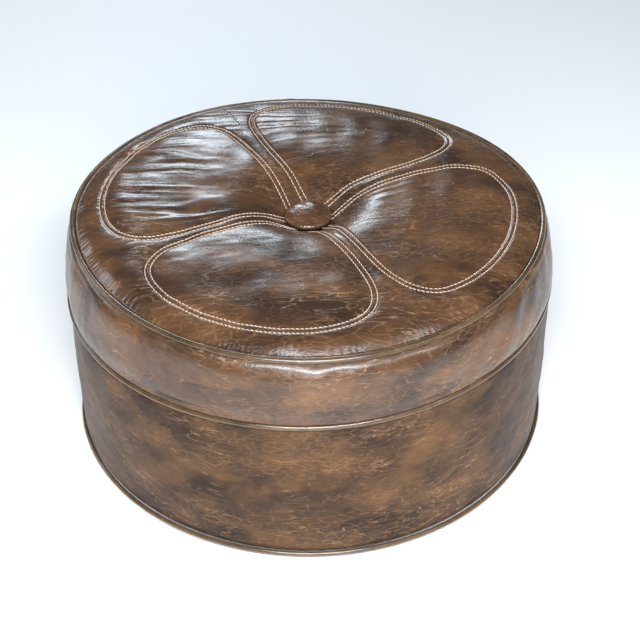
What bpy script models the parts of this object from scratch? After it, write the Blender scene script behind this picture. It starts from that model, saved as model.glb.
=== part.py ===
"""A round leather hassock: a sewn and piped leather cover with a four-petal stitched top and one deep
button, drawn over a foam seat, a fibreboard drum and a plywood frame that stands on four nail-on glides.

Every length is in metres. The floor is z = 0, the drum's axis is Z, and +X runs down the middle of a petal.
"""

import math

import bpy
from mathutils import Vector

# Sizes of the whole hassock, at the middle of each piped seam
TOP_SEAM_RADIUS = 0.262
TOP_SEAM_HEIGHT = 0.269
MIDDLE_SEAM_RADIUS = 0.2745
MIDDLE_SEAM_HEIGHT = 0.190
BOTTOM_SEAM_RADIUS = 0.2770
BOTTOM_SEAM_HEIGHT = 0.0075

# The seat's surface
CROWN = 0.014
CROWN_RADIUS = 0.2585
CROWN_POWER = 14
TUFT_DEPTH = 0.038
TUFT_SPREAD = 0.046

SEAT_RADII = [0.018, 0.036, 0.056, 0.082, 0.130, 0.220, 0.240]

# Sheet goods, cord and clearances
GAP = 0.0003
PLY_GAP = 0.0005
LEATHER = 0.0012
WELT_LEATHER = 0.0008
WELT_RADIUS = 0.0035
WELT_TAIL = 0.009
WELT_CORD_RADIUS = 0.0021
QUILT_PADDING = 0.003
WADDING = 0.004
SIDE_PADDING = 0.0022
DUST_CLOTH = 0.0004

# The frame
BOARD = 0.012
DECK_RADIUS = 0.262
BASE_RADIUS = 0.2665
BASE_LOW = 0.0092
DECK_TOP = 0.187
DRUM_WALL = 0.003
POST_WIDTH = 0.038
POST_OFFSET = 0.128
SCREW_RADIUS = 0.002
SCREW_HEAD_RADIUS = 0.004
SCREW_HEAD_DEPTH = 0.0028
SCREW_LENGTH = 0.040
GLIDE_RADIUS = 0.011
GLIDE_HEIGHT = 0.004
GLIDE_OFFSET = 0.155
GLIDE_NAIL_RADIUS = 0.0012
GLIDE_NAIL_LENGTH = 0.013

# The button and what holds it down
BUTTON_RADIUS = 0.027
BUTTON_DOME = 0.0085
BUTTON_RIM_HEIGHT = TOP_SEAM_HEIGHT - 0.009
BUTTON_SHELL = 0.0008
TUFT_HOLE = 0.004
FOAM_HOLE = 0.006
DECK_HOLE = 0.007
EYE_RADIUS = 0.0042
EYE_WIRE = 0.0008
EYE_HEIGHT = TOP_SEAM_HEIGHT - 0.0195
TWINE_RADIUS = 0.0009
TOGGLE_RADIUS = 0.004
TOGGLE_LENGTH = 0.044

# The stitched petals
PETALS = 4
PETAL_REACH = 0.2300
PETAL_CORNER = 0.084
CHANNEL_HALF_WIDTH = 0.0070
PETAL_ROOT = 0.020
STITCH_RADIUS = 0.0006

# How finely round shapes are divided
TURN_STEPS = 28
SMALL_STEPS = 20
TINY_STEPS = 8


def clear_scene():
    for obj in list(bpy.data.objects):
        bpy.data.objects.remove(obj, do_unlink=True)


def new_collection(name):
    collection = bpy.data.collections.new(name)
    bpy.context.scene.collection.children.link(collection)
    return collection


def new_material(name, colour, roughness, metallic=0.0):
    material = bpy.data.materials.new(name)
    material.use_nodes = True
    shader = material.node_tree.nodes["Principled BSDF"]
    shader.inputs["Base Color"].default_value = (*colour, 1.0)
    shader.inputs["Roughness"].default_value = roughness
    shader.inputs["Metallic"].default_value = metallic
    return material


clear_scene()
PARTS = new_collection("leather_hassock")
CUTTERS = new_collection("cutters")
BROWN_LEATHER = new_material("brown_leather", (0.115, 0.058, 0.032), 0.32)
SEWING_THREAD = new_material("sewing_thread", (0.62, 0.42, 0.30), 0.6)
COTTON_CORD = new_material("cotton_cord", (0.78, 0.74, 0.66), 0.9)
WHITE_WADDING = new_material("white_wadding", (0.85, 0.84, 0.80), 0.95)
SEAT_FOAM = new_material("seat_foam", (0.86, 0.76, 0.48), 0.9)
PLYWOOD = new_material("plywood", (0.58, 0.42, 0.25), 0.6)
SOFTWOOD = new_material("softwood", (0.66, 0.50, 0.31), 0.65)
FIBREBOARD = new_material("fibreboard", (0.38, 0.29, 0.20), 0.85)
BLACK_CLOTH = new_material("black_cloth", (0.02, 0.02, 0.02), 0.95)
BRIGHT_STEEL = new_material("bright_steel", (0.60, 0.60, 0.60), 0.3, 1.0)
NICKEL = new_material("nickel", (0.66, 0.62, 0.55), 0.25, 1.0)


def place(obj, collection):
    """Moves an object into a collection and out of every other one."""
    for other in list(obj.users_collection):
        other.objects.unlink(obj)
    collection.objects.link(obj)
    return obj


def finish(obj, material):
    """Gives a part its material, smooth shading on its round faces, and its place in the collection."""
    obj.data.materials.clear()
    obj.data.materials.append(material)
    return place(obj, PARTS)


def hide_cutter(obj):
    obj.hide_render = True
    obj.display_type = "WIRE"
    return place(obj, CUTTERS)


# Cross-sections, as lists of (radius, height)


def arc(centre, radius, start, end, count):
    """Points along a round stretch of a section, from one angle to another, in degrees."""
    angles = [math.radians(start + (end - start) * i / (count - 1)) for i in range(count)]
    return [(centre[0] + radius * math.cos(a), centre[1] + radius * math.sin(a)) for a in angles]


def ribbon(line, thickness):
    """The closed outline of a sheet whose middle follows a line, with mitred corners."""
    points = [Vector(p) for p in line]
    sides = ([], [])
    for i, point in enumerate(points):
        before = (point - points[max(i - 1, 0)]).normalized()
        after = (points[min(i + 1, len(points) - 1)] - point).normalized()
        along = (before + after).normalized()
        across = Vector((-along.y, along.x))
        reference = after if i == 0 else before
        stretch = 1 / max(across.dot(Vector((-reference.y, reference.x))), 0.5)
        sides[0].append(point + across * stretch * thickness / 2)
        sides[1].append(point - across * stretch * thickness / 2)
    return [tuple(p) for p in sides[0] + sides[1][::-1]]


def seat_height(radius):
    """Height of the seat's leather: a flat crown that rolls over at the edge, with the button's pit."""
    crown = CROWN * (1 - (radius / CROWN_RADIUS) ** CROWN_POWER)
    pit = TUFT_DEPTH * math.exp(-((radius / TUFT_SPREAD) ** 2))
    return TOP_SEAM_HEIGHT + crown - pit


def seat_line(radii, depth):
    """A layer's middle line, that far below the seat's surface and square to it."""
    line = []
    step = 0.0005
    for radius in radii:
        slope = (seat_height(radius + step) - seat_height(radius - step)) / (2 * step)
        scale = depth / math.hypot(1, slope)
        line.append((radius + slope * scale, seat_height(radius) - scale))
    return line


# Solids


def turned(name, outline, material, steps=TURN_STEPS, closed=True, collection=None):
    """A turned solid: a section carried round Z by a Screw modifier. A section that isn't closed starts
    and ends on the axis. Its outer side always runs downwards, so that the faces point out."""
    points = list(outline)
    area = sum(a[0] * b[1] - b[0] * a[1] for a, b in zip(points, points[1:] + points[:1]))
    if area > 0:
        points.reverse()
    count = len(points)
    edges = [(i, i + 1) for i in range(count - 1)]
    if closed:
        edges.append((count - 1, 0))
    mesh = bpy.data.meshes.new(name)
    mesh.from_pydata([(r, 0.0, z) for r, z in points], edges, [])
    obj = bpy.data.objects.new(name, mesh)
    bpy.context.scene.collection.objects.link(obj)
    screw = obj.modifiers.new("turn", "SCREW")
    screw.steps = steps
    screw.render_steps = steps
    screw.use_merge_vertices = True
    screw.merge_threshold = 0.00005
    screw.use_smooth_shade = True
    return finish(obj, material) if collection is None else hide_cutter(obj)


def copy_of(obj, name, location, rotation=(0, 0, 0)):
    """Another object with the same mesh and modifiers, put somewhere else."""
    twin = obj.copy()
    twin.name = name
    twin.location = location
    twin.rotation_euler = rotation
    PARTS.objects.link(twin)
    return twin


def applied(obj):
    """Replaces an object's mesh with what its modifiers make, so that it can be cut or cut with."""
    bpy.context.view_layer.update()
    graph = bpy.context.evaluated_depsgraph_get()
    mesh = bpy.data.meshes.new_from_object(obj.evaluated_get(graph))
    obj.modifiers.clear()
    obj.data = mesh
    return obj


def cut(obj, cutters):
    for cutter in cutters:
        boolean = obj.modifiers.new("cut_" + cutter.name, "BOOLEAN")
        boolean.operation = "DIFFERENCE"
        boolean.object = cutter
    return obj


def tube(name, points, radius, material, sides_each_quarter=0, cyclic=True):
    """A round cord or thread along a line of points."""
    curve = bpy.data.curves.new(name, "CURVE")
    curve.dimensions = "3D"
    curve.bevel_depth = radius
    curve.bevel_resolution = sides_each_quarter
    curve.use_fill_caps = True
    spline = curve.splines.new("POLY")
    spline.points.add(len(points) - 1)
    for spot, point in zip(spline.points, points):
        spot.co = (*point, 1.0)
    spline.use_cyclic_u = cyclic
    obj = bpy.data.objects.new(name, curve)
    bpy.context.scene.collection.objects.link(obj)
    return finish(obj, material)


# The sewn cover


def welt(name, radius, height, tail_length, tail_drop=0.0):
    """A leather strip wrapped round a cord, its two plies running inwards into the seam as a tail."""
    middle = WELT_RADIUS - WELT_LEATHER / 2
    ply = WELT_LEATHER / 2 + GAP / 2
    mouth = math.degrees(math.asin((ply + tail_drop) / middle))
    mouth_low = math.degrees(math.asin((ply - tail_drop) / middle))
    wrap = arc((radius, height), middle, 180 + mouth_low, 540 - mouth, 7)
    wrap = [(r, 2 * height - z) for r, z in wrap][::-1]
    end = radius - middle - tail_length
    line = [(end, height - tail_drop + ply), *wrap, (end, height - tail_drop - ply)]
    if line[1][1] < line[-2][1]:
        line[1:-1] = line[1:-1][::-1]
    turned(name, ribbon(line, WELT_LEATHER), BROWN_LEATHER)
    turned(name + "_cord", arc((radius, height), WELT_CORD_RADIUS, 0, 300, 6), COTTON_CORD)


def make_top_panel():
    turn_in = [(0.2555, 0.0035), (0.2567, 0.0026), (0.2555, 0.00185), (0.2500, 0.00185)]
    rim = [(radius, TOP_SEAM_HEIGHT + rise) for radius, rise in turn_in]
    line = seat_line([TUFT_HOLE, *SEAT_RADII, 0.250], LEATHER / 2)
    turned("top_panel", ribbon(line + rim, LEATHER), BROWN_LEATHER)


def make_quilt_padding():
    depth = LEATHER + PLY_GAP + QUILT_PADDING / 2
    line = seat_line([TUFT_HOLE + 0.004, *SEAT_RADII], depth)
    turned("quilt_padding", ribbon(line, QUILT_PADDING), SEAT_FOAM)


def upper_band_line(inset):
    """The swelling side of the seat, from the top seam down to the middle one."""
    low = MIDDLE_SEAM_HEIGHT + 0.006
    high = TOP_SEAM_HEIGHT - 0.0070
    line = []
    for i in range(6):
        share = i / 5
        swell = 0.0065 * math.sin(math.pi * share) ** 0.8
        base = TOP_SEAM_RADIUS + (MIDDLE_SEAM_RADIUS - TOP_SEAM_RADIUS) * share
        line.append((base + swell - inset, high + (low - high) * share))
    return line


def make_upper_band():
    line = upper_band_line(LEATHER / 2)
    top_turn = [(TOP_SEAM_RADIUS - 0.012, TOP_SEAM_HEIGHT - 0.0019), (0.2572, TOP_SEAM_HEIGHT - 0.0021)]
    low_turn = [(0.2665, MIDDLE_SEAM_HEIGHT + 0.0022), (0.2590, MIDDLE_SEAM_HEIGHT + 0.0018)]
    turned("upper_band", ribbon(top_turn + line + low_turn, LEATHER), BROWN_LEATHER)


def make_lower_band():
    """The drum's leather, turned in at the middle seam and drawn under the base board."""
    side = [(0.2700, 0.181), (0.2726, 0.146), (0.2743, 0.100), (0.2750, 0.050), (0.2750, 0.0155)]
    top_turn = [(0.2590, MIDDLE_SEAM_HEIGHT - 0.0018), (0.2665, MIDDLE_SEAM_HEIGHT - 0.0022)]
    under = [(0.2732, 0.0112), (0.2700, 0.0083), (0.2440, 0.0083)]
    turned("lower_band", ribbon(top_turn + side + under, LEATHER), BROWN_LEATHER)


def make_welts():
    welt("top_welt", TOP_SEAM_RADIUS, TOP_SEAM_HEIGHT, WELT_TAIL)
    welt("middle_welt", MIDDLE_SEAM_RADIUS, MIDDLE_SEAM_HEIGHT, WELT_TAIL)
    welt("bottom_welt", BOTTOM_SEAM_RADIUS, BOTTOM_SEAM_HEIGHT, 3 * WELT_TAIL, tail_drop=0.0014)


# The seat's filling


def make_wadding():
    """Soft fibre laid over the foam and down its side."""
    depth = LEATHER + QUILT_PADDING + WADDING / 2 + 2 * PLY_GAP
    top = seat_line([TUFT_HOLE + 0.006, *SEAT_RADII[:-1]], depth)
    side = [(0.2440, 0.2600), (0.2560, 0.2520), (0.2640, 0.2300), (0.2655, 0.2060), (0.2620, 0.1960)]
    turned("seat_wadding", ribbon(top + side, WADDING), WHITE_WADDING)


def make_seat_foam():
    depth = LEATHER + QUILT_PADDING + WADDING + 3 * PLY_GAP
    top = seat_line([TUFT_HOLE + 0.008, *SEAT_RADII[:-1]], depth)
    side = [(0.2400, 0.2560), (0.2520, 0.2490), (0.2612, 0.2290), (0.2628, 0.2060), (0.2560, 0.1930)]
    low = [(0.2520, DECK_TOP + GAP), (FOAM_HOLE, DECK_TOP + GAP)]
    turned("seat_foam", top + side + low, SEAT_FOAM)


def wall_radius(height):
    """Inner radius of the drum's wall, which widens a little from the deck down to the base board."""
    share = (DECK_TOP - height) / (DECK_TOP - BASE_LOW)
    return DECK_RADIUS + GAP + (BASE_RADIUS - DECK_RADIUS) * share


def make_side_padding():
    """Thin foam between the drum and its leather."""
    offset = DRUM_WALL + GAP + SIDE_PADDING / 2
    line = [(wall_radius(height) + offset, height) for height in (0.177, 0.100, 0.016)]
    turned("side_padding", ribbon(line, SIDE_PADDING), SEAT_FOAM)


# The frame


def around(offset):
    """The four places that a pair of equal offsets gives, one in each quarter."""
    return [(x * offset, y * offset) for x, y in ((1, 1), (-1, 1), (-1, -1), (1, -1))]


def screw_section(spare):
    """A countersunk screw's section, its head's flat at z = 0, or its hole's when spare is not zero."""
    head = SCREW_HEAD_RADIUS + spare
    shank = SCREW_RADIUS + spare
    top = 0.001 if spare else 0.0
    return [(0, top), (head, top), (head, -0.0004), (shank, -SCREW_HEAD_DEPTH),
            (shank, -SCREW_LENGTH + 0.003), (0, -SCREW_LENGTH - spare)]


def disc(name, radius, thickness, low, material, vertices=TURN_STEPS):
    bpy.ops.mesh.primitive_cylinder_add(vertices=vertices, radius=radius, depth=thickness,
                                        location=(0, 0, low + thickness / 2))
    obj = bpy.context.object
    obj.name = name
    return finish(obj, material)


def pin_cutter(name, radius, low, high, spot):
    bpy.ops.mesh.primitive_cylinder_add(vertices=TINY_STEPS, radius=radius, depth=high - low,
                                        location=(*spot, (low + high) / 2))
    obj = bpy.context.object
    obj.name = name
    return hide_cutter(obj)


def make_frame():
    """Two plywood boards held apart by four posts, a screw through each board into each post's end."""
    deck_low = DECK_TOP - BOARD
    base_high = BASE_LOW + BOARD
    deck = disc("seat_deck", DECK_RADIUS, BOARD, deck_low, PLYWOOD)
    base = disc("base_board", wall_radius(base_high) - GAP, BOARD, BASE_LOW, PLYWOOD)
    holes_down = []
    holes_up = []
    hole = applied(turned("screw_hole", screw_section(GAP), None, TINY_STEPS, False, CUTTERS))
    screw = turned("deck_screw_1", screw_section(0), BRIGHT_STEEL, TINY_STEPS, closed=False)
    screw_spots = around(POST_OFFSET)
    for number, spot in enumerate(screw_spots, 1):
        down = hole.copy()
        down.location = (*spot, DECK_TOP)
        up = hole.copy()
        up.location = (*spot, BASE_LOW)
        up.rotation_euler = (math.pi, 0, 0)
        for cutter, holes in ((down, holes_down), (up, holes_up)):
            CUTTERS.objects.link(cutter)
            hide_cutter(cutter)
            holes.append(cutter)
        if number == 1:
            screw.location = (*spot, DECK_TOP)
        else:
            copy_of(screw, f"deck_screw_{number}", (*spot, DECK_TOP))
        copy_of(screw, f"base_screw_{number}", (*spot, BASE_LOW), (math.pi, 0, 0))
        height = deck_low - base_high - 2 * GAP
        bpy.ops.mesh.primitive_cube_add(size=1, location=(*spot, (deck_low + base_high) / 2))
        post = bpy.context.object
        post.name = f"post_{number}"
        post.scale = (POST_WIDTH, POST_WIDTH, height)
        bpy.ops.object.transform_apply(location=False, rotation=False, scale=True)
        finish(post, SOFTWOOD)
        cut(post, [down, up])
    bpy.data.objects.remove(hole)
    centre_hole = pin_cutter("twine_hole", DECK_HOLE, deck_low - 0.001, DECK_TOP + 0.001, (0, 0))
    cut(deck, [*holes_down, centre_hole])
    nail_top = GLIDE_HEIGHT + GLIDE_NAIL_LENGTH + GAP
    nail_holes = [pin_cutter(f"nail_hole_{i}", GLIDE_NAIL_RADIUS + GAP, 0.002, nail_top, spot)
                  for i, spot in enumerate(around(GLIDE_OFFSET), 1)]
    cut(base, [*holes_up, *nail_holes])
    dust = disc("dust_cover", BOTTOM_SEAM_RADIUS - 0.012, DUST_CLOTH, GLIDE_HEIGHT + GAP, BLACK_CLOTH)
    cut(dust, nail_holes)


def make_drum_wall():
    """A fibreboard tube tacked round the edges of both boards."""
    high = wall_radius(DECK_TOP)
    low = wall_radius(BASE_LOW)
    section = [(high, DECK_TOP), (high + DRUM_WALL, DECK_TOP),
               (low + DRUM_WALL, BASE_LOW + GAP), (low, BASE_LOW + GAP)]
    turned("drum_wall", section, FIBREBOARD)


def make_glides():
    """A nickelled dome with a flat foot and one nail."""
    section = [(0, GLIDE_HEIGHT + GLIDE_NAIL_LENGTH), (GLIDE_NAIL_RADIUS, GLIDE_HEIGHT + 0.010),
               (GLIDE_NAIL_RADIUS, GLIDE_HEIGHT), (GLIDE_RADIUS, GLIDE_HEIGHT),
               (GLIDE_RADIUS, 0.0030), (0.0098, 0.0010), (0.0080, 0.0), (0, 0)]
    first = turned("glide_1", section, NICKEL, 16, closed=False)
    for number, spot in enumerate(around(GLIDE_OFFSET), 1):
        if number == 1:
            first.location = (*spot, 0)
        else:
            copy_of(first, f"glide_{number}", (*spot, 0))


# The button, its twine and its anchor


def dome_line(radius, height, rim, count):
    """A low dome's section, from near its middle out to its rim."""
    return [(radius * math.sin(math.pi / 2 * i / count), rim + height * math.cos(math.pi / 2 * i / count))
            for i in range(count + 1)]


def make_button():
    """A leather-covered metal shell, crimped over a back plate that carries the eye."""
    rim = BUTTON_RIM_HEIGHT
    cover = dome_line(BUTTON_RADIUS, BUTTON_DOME, rim, 5)
    cover += [(BUTTON_RADIUS - 0.0006, rim - 0.0016), (BUTTON_RADIUS - 0.0030, rim - 0.0026), (0.0200, rim - 0.0026)]
    inside = dome_line(BUTTON_RADIUS - LEATHER, BUTTON_DOME - LEATHER, rim, 5)[::-1]
    turn_in = [(0.0200, rim - 0.0014), (BUTTON_RADIUS - 0.0032, rim - 0.0014)]
    turned("button_cover", cover + turn_in + inside, BROWN_LEATHER, SMALL_STEPS, closed=False)
    spare = LEATHER + GAP
    shell = dome_line(BUTTON_RADIUS - spare, BUTTON_DOME - spare, rim, 4)
    hollow = dome_line(BUTTON_RADIUS - spare - BUTTON_SHELL, BUTTON_DOME - spare - BUTTON_SHELL, rim, 4)[::-1]
    turned("button_shell", shell + hollow, BRIGHT_STEEL, SMALL_STEPS, closed=False)
    plate = [(0.0021, rim - 0.0006), (0.0235, rim - 0.0006), (0.0235, rim - 0.0011), (0.0195, rim - 0.0011),
             (0.0190, rim - 0.0030), (0.0021, rim - 0.0030)]
    turned("button_back", plate, BRIGHT_STEEL, SMALL_STEPS)
    make_eye(rim)


def make_eye(rim):
    """The wire eye: a head above the back plate, a neck through its hole and a ring below."""
    neck_low = EYE_HEIGHT + EYE_RADIUS - EYE_WIRE / 2
    stud = [(0, rim + 0.0008), (0.0040, rim + 0.0008), (0.0040, rim - 0.0003), (0.0016, rim - 0.0003),
            (0.0016, neck_low), (0, neck_low)]
    eye = applied(turned("button_eye", stud, BRIGHT_STEEL, TINY_STEPS, closed=False))
    bpy.ops.mesh.primitive_torus_add(location=(0, 0, EYE_HEIGHT), rotation=(0, math.pi / 2, 0), major_segments=16,
                                     minor_segments=6, major_radius=EYE_RADIUS, minor_radius=EYE_WIRE)
    ring = hide_cutter(bpy.context.object)
    ring.name = "eye_ring"
    join = eye.modifiers.new("join_ring", "BOOLEAN")
    join.operation = "UNION"
    join.object = ring


def make_twine():
    """A closed loop of twine, hooked in the eye and tied round a dowel under the deck."""
    upper = EYE_HEIGHT - EYE_RADIUS
    turn_up = EYE_WIRE + GAP + TWINE_RADIUS
    turn_down = TOGGLE_RADIUS + GAP + TWINE_RADIUS
    toggle_height = DECK_TOP - BOARD - GAP - TOGGLE_RADIUS
    points = [(x, 0, z) for x, z in arc((0, upper), turn_up, 180, 0, 7)]
    points += [(turn_up, 0, DECK_TOP + 0.03), (turn_up + 0.0015, 0, DECK_TOP - BOARD / 2)]
    points += [(x, 0, z) for x, z in arc((0, toggle_height), turn_down, 0, -180, 9)]
    points += [(-turn_up - 0.0015, 0, DECK_TOP - BOARD / 2), (-turn_up, 0, DECK_TOP + 0.03)]
    tube("tufting_twine", points, TWINE_RADIUS, COTTON_CORD, sides_each_quarter=1)
    bpy.ops.mesh.primitive_cylinder_add(vertices=12, radius=TOGGLE_RADIUS, depth=TOGGLE_LENGTH,
                                        location=(0, 0, toggle_height), rotation=(math.pi / 2, 0, 0))
    toggle = bpy.context.object
    toggle.name = "twine_toggle"
    finish(toggle, SOFTWOOD)


# The petal stitching


def petal_outline():
    """Half a petal, seen from above, its middle on +X: out along the channel beside it, round a corner
    and along an arc that keeps to the seat's edge."""
    turn = math.pi / PETALS
    reach = PETAL_REACH - PETAL_CORNER
    inset = CHANNEL_HALF_WIDTH + PETAL_CORNER
    corner_along = math.sqrt(reach ** 2 - inset ** 2)
    along = Vector((math.cos(turn), math.sin(turn)))
    across = Vector((math.sin(turn), -math.cos(turn)))
    centre = along * corner_along + across * inset
    bearing = math.atan2(centre.y, centre.x)
    half = [along * r + across * CHANNEL_HALF_WIDTH for r in (PETAL_ROOT, 0.0245, 0.032, 0.045, 0.062, 0.085)]
    start = turn + math.pi / 2
    for i in range(7):
        angle = start + (bearing - start) * i / 6
        half.append(centre + PETAL_CORNER * Vector((math.cos(angle), math.sin(angle))))
    for i in (1, 2, 3):
        angle = bearing * (1 - i / 3)
        half.append(PETAL_REACH * Vector((math.cos(angle), math.sin(angle))))
    return half


def make_stitching():
    half = petal_outline()
    loop = half + [Vector((p.x, -p.y)) for p in half[-2::-1]]
    lift = STITCH_RADIUS + 2 * GAP
    for number in range(PETALS):
        turn = 2 * math.pi * number / PETALS
        points = []
        for p in loop:
            x = p.x * math.cos(turn) - p.y * math.sin(turn)
            y = p.x * math.sin(turn) + p.y * math.cos(turn)
            points.append((x, y, seat_height(p.length) + lift))
        tube(f"petal_stitching_{number + 1}", points, STITCH_RADIUS, SEWING_THREAD)


make_top_panel()
make_quilt_padding()
make_upper_band()
make_lower_band()
make_welts()
make_wadding()
make_seat_foam()
make_side_padding()
make_frame()
make_drum_wall()
make_glides()
make_button()
make_twine()
make_stitching()
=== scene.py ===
"""The looks of a round leather hassock: antiqued brown leather, a four-petal stitched top with one deep
button, piped seams, a soft upper band over a firm drum, and what it hides.

Every length is in metres. The frame gives each seam's place. The petals' middles lie near +X, +Y, -X and
-Y, as in the CAD model, each turned by up to two degrees.
"""

import math

import bmesh
import bpy
import numpy as np
from mathutils import Matrix, Vector


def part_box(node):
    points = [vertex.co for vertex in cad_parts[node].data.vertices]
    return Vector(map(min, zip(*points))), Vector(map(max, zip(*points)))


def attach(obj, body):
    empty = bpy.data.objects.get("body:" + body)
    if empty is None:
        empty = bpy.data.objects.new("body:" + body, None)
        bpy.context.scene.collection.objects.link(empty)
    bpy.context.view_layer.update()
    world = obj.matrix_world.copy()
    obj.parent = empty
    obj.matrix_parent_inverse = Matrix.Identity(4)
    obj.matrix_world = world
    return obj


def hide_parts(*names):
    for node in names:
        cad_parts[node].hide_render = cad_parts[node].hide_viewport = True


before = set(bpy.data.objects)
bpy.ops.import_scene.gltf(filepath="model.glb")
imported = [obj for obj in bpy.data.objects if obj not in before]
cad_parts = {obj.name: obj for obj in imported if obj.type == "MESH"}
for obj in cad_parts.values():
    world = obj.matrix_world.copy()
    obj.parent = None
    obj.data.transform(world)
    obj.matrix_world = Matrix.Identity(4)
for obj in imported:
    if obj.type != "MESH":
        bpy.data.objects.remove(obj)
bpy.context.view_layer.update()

# Sizes that the CAD model also has
CORD_RADIUS = 0.0021
WELT_RADIUS = 0.0031
LEATHER = 0.0012
CROWN = 0.014
CROWN_RADIUS = 0.2585
CROWN_POWER = 14
TUFT_DEPTH = 0.038
TUFT_SPREAD = 0.046

# The petals: each is a degree or two off its quarter, and the channel beside it narrows outwards
PETALS = 4
PETAL_TURNS = tuple(math.radians(turn) for turn in (-2.0, 88.9, 180.5, 268.5))
PETAL_REACH = 0.2342
PETAL_ROUNDING = 0.040
CHANNEL_ROOT = 0.0086
CHANNEL_TAPER = 0.040
ROW_GAP = 0.0058
STITCH_PITCH = 0.0046
STITCH_LENGTH = 0.0043
THREAD_RADIUS = 0.00056
RINGS, SIDES = 7, 6

# The viewer stands this far round from -Y; wrinkles and light are laid out from there
VIEW_TURN = math.radians(17)
JOIN_ANGLE = math.radians(112)
AROUND = 1080

# The seat's leather: the hole under the button, its edge, and the piping's inner side, where pleats start
SEAT_HOLE = 0.0045
SEAT_EDGE = 0.2588
PIPING_EDGE = 0.2590

# The quilting: how far the leather rises within a petal and outside it, the small roll between the rows of
# a pair, and the groove along each row
PETAL_RISE = 0.0030
FIELD_RISE = 0.0018
ROLL_RISE = 0.0005
GROOVE_DEPTH = 0.0009


# Arrays and meshes


def smooth_step(low, high, value):
    """0 below low, 1 above high, and the cubic 3t^2 - 2t^3 between them."""
    t = np.clip((value - low) / (high - low), 0, 1)
    return t * t * (3 - 2 * t)


def rough_field(points, size, seed, count=28):
    """A smooth random field of about unit height: the sum of sine waves whose directions are random and
    whose lengths lie within a factor 1.6 of size, at points with any number of coordinates."""
    draw = np.random.default_rng(seed)
    direction = draw.normal(size=(count, points.shape[-1]))
    direction /= np.linalg.norm(direction, axis=1, keepdims=True)
    length = size * 1.6 ** draw.uniform(-1, 1, count)
    phase = draw.uniform(0, 2 * math.pi, count)
    waves = np.sin(points @ (direction * (2 * math.pi / length)[:, None]).T + phase)
    return waves.sum(-1) * math.sqrt(2 / count)


def wander(angle, seed, size, low=2, high=8):
    """A closed wavering line: sines of whole numbers of waves, each smaller in proportion to its number."""
    draw = np.random.default_rng(seed)
    total = np.zeros_like(angle)
    for number in range(low, high):
        total = total + np.sin(number * angle + draw.uniform(0, 2 * math.pi)) * low / number
    return size * total / 2


def make_mesh(name, points, faces, uv=None):
    """An object from a point array and a list of index arrays, one row a face, turned to face out where
    their signed volume is negative. uv has one pair for each corner, in the faces' order."""
    points = np.asarray(points, float).reshape(-1, 3)
    first = points[faces[0][:, 0]]
    fan = [np.cross(points[faces[0][:, k]], points[faces[0][:, k + 1]]) for k in (1, faces[0].shape[1] - 2)]
    inside_out = (first * sum(fan)).sum() < 0
    if inside_out:
        faces = [face[:, ::-1] for face in faces]
    corners = np.concatenate([face.ravel() for face in faces]).astype(np.int32)
    sizes = np.concatenate([np.full(len(face), face.shape[1]) for face in faces]).astype(np.int32)
    starts = np.concatenate([[0], np.cumsum(sizes)[:-1]]).astype(np.int32)
    mesh = bpy.data.meshes.new(name)
    mesh.vertices.add(len(points))
    mesh.vertices.foreach_set("co", points.astype(np.float32).ravel())
    mesh.loops.add(len(corners))
    mesh.loops.foreach_set("vertex_index", corners)
    mesh.polygons.add(len(sizes))
    mesh.polygons.foreach_set("loop_start", starts)
    mesh.polygons.foreach_set("loop_total", sizes)
    mesh.update(calc_edges=True)
    if uv is not None:
        if inside_out:
            uv = [pairs[:, ::-1] for pairs in uv]
        layer = mesh.uv_layers.new(name="hide")
        flat = np.concatenate([pairs.reshape(-1, 2) for pairs in uv])
        layer.data.foreach_set("uv", flat.astype(np.float32).ravel())
    mesh.shade_smooth()
    obj = bpy.data.objects.new(name, mesh)
    bpy.context.scene.collection.objects.link(obj)
    return obj


def ring_mesh(name, points, u, v):
    """A closed ring from points[around, section]: both directions run back to their start. u has one
    value more than points around, and v one more than the section, so that the pattern has clean ends."""
    around, section = points.shape[:2]
    i, j = np.meshgrid(np.arange(around), np.arange(section), indexing="ij")
    i2, j2 = (i + 1) % around, (j + 1) % section
    quads = np.stack([i * section + j, i2 * section + j, i2 * section + j2, i * section + j2], -1)
    u = np.broadcast_to(u, (around + 1, section + 1))
    v = np.broadcast_to(v, (around + 1, section + 1))
    hide = np.stack([u, v], -1)
    pairs = np.stack([hide[:-1, :-1], hide[1:, :-1], hide[1:, 1:], hide[:-1, 1:]], 2)
    return make_mesh(name, points, [quads.reshape(-1, 4)], [pairs.reshape(-1, 4, 2)])


def closed_plan(points):
    """Plan places of a ring's points with its first row and column repeated at the end, for ring_mesh."""
    loop = np.concatenate([points, points[:1]], axis=0)
    loop = np.concatenate([loop, loop[:, :1]], axis=1)
    return loop[..., 0], loop[..., 1]


def spline(knots, count):
    """A smooth line through knots, as count points: Catmull-Rom pieces, spaced by the chords' lengths."""
    knots = np.asarray(knots, float)
    padded = np.vstack([2 * knots[0] - knots[1], knots, 2 * knots[-1] - knots[-2]])
    chord = np.concatenate([[0], np.cumsum(np.linalg.norm(np.diff(knots, axis=0), axis=1))])
    at = np.linspace(0, chord[-1], count)
    piece = np.clip(np.searchsorted(chord, at, side="right") - 1, 0, len(knots) - 2)
    t = ((at - chord[piece]) / (chord[piece + 1] - chord[piece]))[:, None]
    a, b, c, d = (padded[piece + k] for k in range(4))
    bend, twist = 2 * a - 5 * b + 4 * c - d, 3 * b - a - 3 * c + d
    return 0.5 * (2 * b + (c - a) * t + bend * t ** 2 + twist * t ** 3)


def around_axis(radius, angle, height):
    """Points at a distance from the hassock's axis, a direction round it and a height."""
    return np.stack(np.broadcast_arrays(radius * np.cos(angle), radius * np.sin(angle), height), -1)


# The seams that the sewn pieces share


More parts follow.
